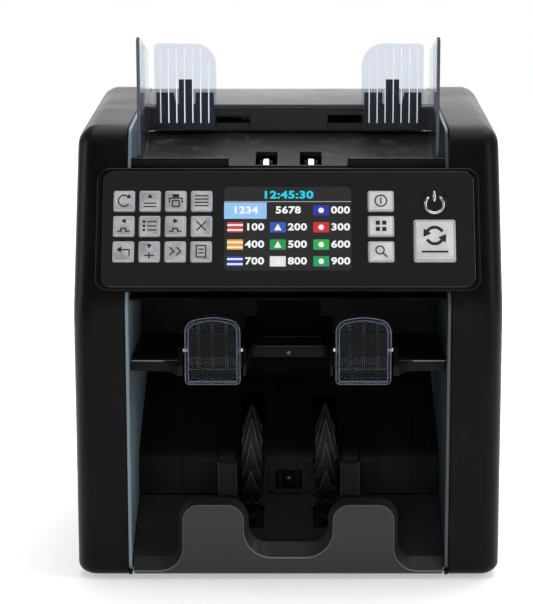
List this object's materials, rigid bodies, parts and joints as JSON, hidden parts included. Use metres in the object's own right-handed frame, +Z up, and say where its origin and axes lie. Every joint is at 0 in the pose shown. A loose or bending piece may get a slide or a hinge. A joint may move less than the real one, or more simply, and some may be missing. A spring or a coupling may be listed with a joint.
{
  "type": "banknote counting machine",
  "caption": "Desk-top banknote counter with a tilted key panel and screen, a top feed hopper with sliding clear guides, an upper reject pocket and a lower stacking pocket.",
  "frame": {"origin": "on the table under the middle of the machine's bounding box", "axes": "+Z up, +X to the right of a user who faces the machine, -Y towards that user"},
  "size_m": [0.2936, 0.27, 0.3709],
  "materials": {
    "black_shell": "satin, fine grain",
    "black_inner": "satin",
    "gloss_black": "polished",
    "side_plate_paint": "satin grey paint",
    "clear_plastic": "clear, polished, faint blue",
    "key_silver": "silver under a clear cap",
    "power_chrome": "plated symbol on a dark pad",
    "screen_glass": "glossy display window",
    "board_green": "solder mask",
    "rubber": "matt",
    "wheel_rubber": "semi-gloss moulded rubber",
    "steel": "plain",
    "motor_case": "zinc",
    "electronics": "caged supply, mean density of a filled case",
    "lens": "clear dome",
    "pulley_plastic": "satin",
    "rollers": "plated rollers on a shaft"
  },
  "bodies": {
    "frame": {"base_pan": "black_inner", "left_side_cover": "black_shell", "right_side_cover": "black_shell", "left_side_plate": "side_plate_paint", "right_side_plate": "side_plate_paint", "top_cover": "black_shell", "hopper_tray": "black_shell", "control_hood": "black_shell", "panel_face": "gloss_black", "display_screen": "screen_glass", "control_board": "board_green", "reject_pocket": "black_inner", "stacker_back_plate": "black_inner", "front_tray": "black_shell", "front_left_foot": "rubber", "front_right_foot": "rubber", "rear_left_foot": "rubber", "rear_right_foot": "rubber", "stacker_sensor": "lens", "reject_sensor": "lens", "guide_rail": "steel", "image_sensor": "black_inner", "drive_motor": "motor_case", "power_supply": "electronics", "power_inlet": "black_inner", "drive_belt": "rubber"},
    "left_guide": {"left_note_guide": "clear_plastic", "left_guide_carrier": "black_inner"},
    "right_guide": {"right_note_guide": "clear_plastic", "right_guide_carrier": "black_inner"},
    "pinion": {"guide_pinion": "pulley_plastic"},
    "left_stop": {"left_note_stop": "clear_plastic"},
    "right_stop": {"right_note_stop": "clear_plastic"},
    "stacker_rotor": {"stacker_shaft": "steel", "left_stacker_wheel": "wheel_rubber", "right_stacker_wheel": "wheel_rubber", "stacker_pulley": "pulley_plastic"},
    "pickup_rotor": {"pickup_shaft": "rollers"},
    "feed_rotor": {"feed_shaft": "rollers"},
    "motor_rotor": {"motor_pulley": "pulley_plastic"},
    "gate": {"diverter_gate": "black_inner"},
    "door": {"rear_door": "black_shell"},
    "latch": {"door_latch": "black_inner"},
    "key_auto_body": {"key_auto": "key_silver"},
    "key_serial_body": {"key_serial": "key_silver"},
    "key_print_body": {"key_print": "key_silver"},
    "key_batch_body": {"key_batch": "key_silver"},
    "key_face_body": {"key_face": "key_silver"},
    "key_menu_body": {"key_menu": "key_silver"},
    "key_orient_body": {"key_orient": "key_silver"},
    "key_reject_body": {"key_reject": "key_silver"},
    "key_escape_body": {"key_escape": "key_silver"},
    "key_add_body": {"key_add": "key_silver"},
    "key_speed_body": {"key_speed": "key_silver"},
    "key_report_body": {"key_report": "key_silver"},
    "key_currency_body": {"key_currency": "key_silver"},
    "key_mode_body": {"key_mode": "key_silver"},
    "key_counterfeit_body": {"key_counterfeit": "key_silver"},
    "key_restart_body": {"key_restart": "key_silver"},
    "key_power_body": {"key_power": "power_chrome"}
  },
  "joints": [
    {"name": "left_guide_slide", "type": "slide", "parent": "frame", "child": "left_guide", "axis": [1, 0, 0], "range_m": [0, 0.03]},
    {"name": "right_guide_slide", "type": "slide", "parent": "frame", "child": "right_guide", "axis": [-1, 0, 0], "range_m": [0, 0.03]},
    {"name": "guide_pinion_spin", "type": "hinge", "parent": "frame", "child": "pinion", "pos_m": [0, 0.0332, 0.3], "axis": [0, 1, 0], "range_deg": [0, 287]},
    {"name": "left_stop_swing", "type": "hinge", "parent": "frame", "child": "left_stop", "pos_m": [-0.051, -0.1265, 0.1627], "axis": [1, 0, 0], "range_deg": [0, 75], "stiffness_Nm_per_rad": 0.012, "springref_deg": -17.19},
    {"name": "right_stop_swing", "type": "hinge", "parent": "frame", "child": "right_stop", "pos_m": [0.051, -0.1265, 0.1627], "axis": [1, 0, 0], "range_deg": [0, 75], "stiffness_Nm_per_rad": 0.012, "springref_deg": -17.19},
    {"name": "stacker_spin", "type": "hinge", "parent": "frame", "child": "stacker_rotor", "pos_m": [0, -0.045, 0.06], "axis": [1, 0, 0], "continuous": true},
    {"name": "pickup_spin", "type": "hinge", "parent": "frame", "child": "pickup_rotor", "pos_m": [0, -0.035, 0.2705], "axis": [1, 0, 0], "continuous": true},
    {"name": "feed_spin", "type": "hinge", "parent": "frame", "child": "feed_rotor", "pos_m": [0, -0.061, 0.2475], "axis": [1, 0, 0], "continuous": true},
    {"name": "motor_spin", "type": "hinge", "parent": "frame", "child": "motor_rotor", "pos_m": [0, 0.069, 0.086], "axis": [1, 0, 0], "continuous": true},
    {"name": "gate_swing", "type": "hinge", "parent": "frame", "child": "gate", "pos_m": [0, 0.001, 0.175], "axis": [1, 0, 0], "range_deg": [-12, 12], "stiffness_Nm_per_rad": 0.05},
    {"name": "rear_door_hinge", "type": "hinge", "parent": "frame", "child": "door", "pos_m": [0, 0.131, 0.0566], "axis": [-1, 0, 0], "range_deg": [0, 85]},
    {"name": "door_latch_slide", "type": "slide", "parent": "door", "child": "latch", "axis": [0, 0, -1], "range_m": [0, 0.003], "stiffness_N_per_m": 300, "springref_m": -0.002},
    {"name": "key_auto_press", "type": "slide", "parent": "frame", "child": "key_auto_body", "axis": [0, 0.9135, -0.4067], "range_m": [0, 0.0012], "stiffness_N_per_m": 450, "springref_m": -0.001},
    {"name": "key_serial_press", "type": "slide", "parent": "frame", "child": "key_serial_body", "axis": [0, 0.9135, -0.4067], "range_m": [0, 0.0012], "stiffness_N_per_m": 450, "springref_m": -0.001},
    {"name": "key_print_press", "type": "slide", "parent": "frame", "child": "key_print_body", "axis": [0, 0.9135, -0.4067], "range_m": [0, 0.0012], "stiffness_N_per_m": 450, "springref_m": -0.001},
    {"name": "key_batch_press", "type": "slide", "parent": "frame", "child": "key_batch_body", "axis": [0, 0.9135, -0.4067], "range_m": [0, 0.0012], "stiffness_N_per_m": 450, "springref_m": -0.001},
    {"name": "key_face_press", "type": "slide", "parent": "frame", "child": "key_face_body", "axis": [0, 0.9135, -0.4067], "range_m": [0, 0.0012], "stiffness_N_per_m": 450, "springref_m": -0.001},
    {"name": "key_menu_press", "type": "slide", "parent": "frame", "child": "key_menu_body", "axis": [0, 0.9135, -0.4067], "range_m": [0, 0.0012], "stiffness_N_per_m": 450, "springref_m": -0.001},
    {"name": "key_orient_press", "type": "slide", "parent": "frame", "child": "key_orient_body", "axis": [0, 0.9135, -0.4067], "range_m": [0, 0.0012], "stiffness_N_per_m": 450, "springref_m": -0.001},
    {"name": "key_reject_press", "type": "slide", "parent": "frame", "child": "key_reject_body", "axis": [0, 0.9135, -0.4067], "range_m": [0, 0.0012], "stiffness_N_per_m": 450, "springref_m": -0.001},
    {"name": "key_escape_press", "type": "slide", "parent": "frame", "child": "key_escape_body", "axis": [0, 0.9135, -0.4067], "range_m": [0, 0.0012], "stiffness_N_per_m": 450, "springref_m": -0.001},
    {"name": "key_add_press", "type": "slide", "parent": "frame", "child": "key_add_body", "axis": [0, 0.9135, -0.4067], "range_m": [0, 0.0012], "stiffness_N_per_m": 450, "springref_m": -0.001},
    {"name": "key_speed_press", "type": "slide", "parent": "frame", "child": "key_speed_body", "axis": [0, 0.9135, -0.4067], "range_m": [0, 0.0012], "stiffness_N_per_m": 450, "springref_m": -0.001},
    {"name": "key_report_press", "type": "slide", "parent": "frame", "child": "key_report_body", "axis": [0, 0.9135, -0.4067], "range_m": [0, 0.0012], "stiffness_N_per_m": 450, "springref_m": -0.001},
    {"name": "key_currency_press", "type": "slide", "parent": "frame", "child": "key_currency_body", "axis": [0, 0.9135, -0.4067], "range_m": [0, 0.0012], "stiffness_N_per_m": 450, "springref_m": -0.001},
    {"name": "key_mode_press", "type": "slide", "parent": "frame", "child": "key_mode_body", "axis": [0, 0.9135, -0.4067], "range_m": [0, 0.0012], "stiffness_N_per_m": 450, "springref_m": -0.001},
    {"name": "key_counterfeit_press", "type": "slide", "parent": "frame", "child": "key_counterfeit_body", "axis": [0, 0.9135, -0.4067], "range_m": [0, 0.0012], "stiffness_N_per_m": 450, "springref_m": -0.001},
    {"name": "key_restart_press", "type": "slide", "parent": "frame", "child": "key_restart_body", "axis": [0, 0.9135, -0.4067], "range_m": [0, 0.0012], "stiffness_N_per_m": 450, "springref_m": -0.001},
    {"name": "key_power_press", "type": "slide", "parent": "frame", "child": "key_power_body", "axis": [0, 0.9135, -0.4067], "range_m": [0, 0.0012], "stiffness_N_per_m": 450, "springref_m": -0.001}
  ],
  "couplings": [
    {"joint": "right_guide_slide", "follows": "left_guide_slide", "ratio": 1},
    {"joint": "guide_pinion_spin", "follows": "left_guide_slide", "rad_per_m": 166.67},
    {"joint": "pickup_spin", "follows": "stacker_spin", "ratio": 2},
    {"joint": "feed_spin", "follows": "stacker_spin", "ratio": 1.6667},
    {"joint": "motor_spin", "follows": "stacker_spin", "ratio": 2.5}
  ]
}
